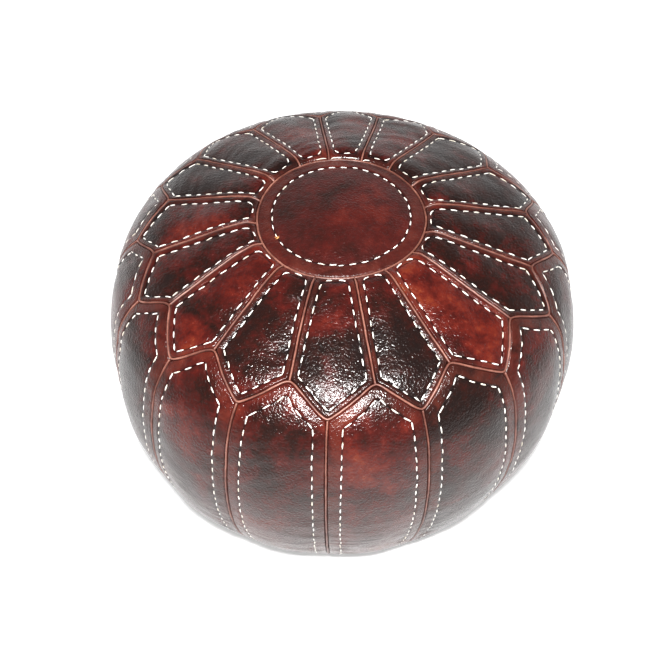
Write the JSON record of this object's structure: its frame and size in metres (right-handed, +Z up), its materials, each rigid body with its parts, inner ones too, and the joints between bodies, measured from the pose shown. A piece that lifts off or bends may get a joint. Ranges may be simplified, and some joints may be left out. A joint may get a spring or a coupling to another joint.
{
  "type": "moroccan leather pouf",
  "caption": "Round stuffed leather floor pouf with a crown disc, pointed petals, side panels, proud welts in the seams and a zip in the base.",
  "frame": {"origin": "centre of the footprint, on the floor", "axes": "+Z up; the front petal points along -Y; the zip in the base runs along X, its closed slider at the -X end"},
  "size_m": [0.5228, 0.5228, 0.3446],
  "materials": {
    "leather": "gloss",
    "welt_leather": "satin",
    "cotton": "matte",
    "tape": "matte",
    "brass": "satin"
  },
  "bodies": {
    "cover": {"crown_disc": "leather", "petal_01": "leather", "petal_02": "leather", "petal_03": "leather", "petal_04": "leather", "petal_05": "leather", "petal_06": "leather", "petal_07": "leather", "petal_08": "leather", "petal_09": "leather", "petal_10": "leather", "petal_11": "leather", "petal_12": "leather", "petal_13": "leather", "petal_14": "leather", "petal_15": "leather", "petal_16": "leather", "side_panel_01": "leather", "side_panel_02": "leather", "side_panel_03": "leather", "side_panel_04": "leather", "side_panel_05": "leather", "side_panel_06": "leather", "side_panel_07": "leather", "side_panel_08": "leather", "side_panel_09": "leather", "side_panel_10": "leather", "side_panel_11": "leather", "side_panel_12": "leather", "side_panel_13": "leather", "side_panel_14": "leather", "side_panel_15": "leather", "side_panel_16": "leather", "base_back": "leather", "base_front": "leather", "disc_welt": "welt_leather", "petal_welts": "welt_leather", "shoulder_welt": "welt_leather", "side_welts": "welt_leather", "base_welt": "welt_leather", "stuffing": "cotton", "zip_tape_back": "tape", "zip_tape_front": "tape", "zip_teeth_back": "brass", "zip_teeth_front": "brass", "zip_top_stops": "brass", "zip_bottom_stop": "brass"},
    "slider": {"zip_slider": "brass"},
    "pull": {"zip_pull": "brass"}
  },
  "joints": [
    {"name": "zip_slide", "type": "slide", "parent": "cover", "child": "slider", "axis": [1, 0, 0], "range_m": [0, 0.223]},
    {"name": "pull_swing", "type": "hinge", "parent": "slider", "child": "pull", "pos_m": [-0.1115, 0, 0.01], "axis": [0, 1, 0], "range_deg": [-23, 157]}
  ]
}
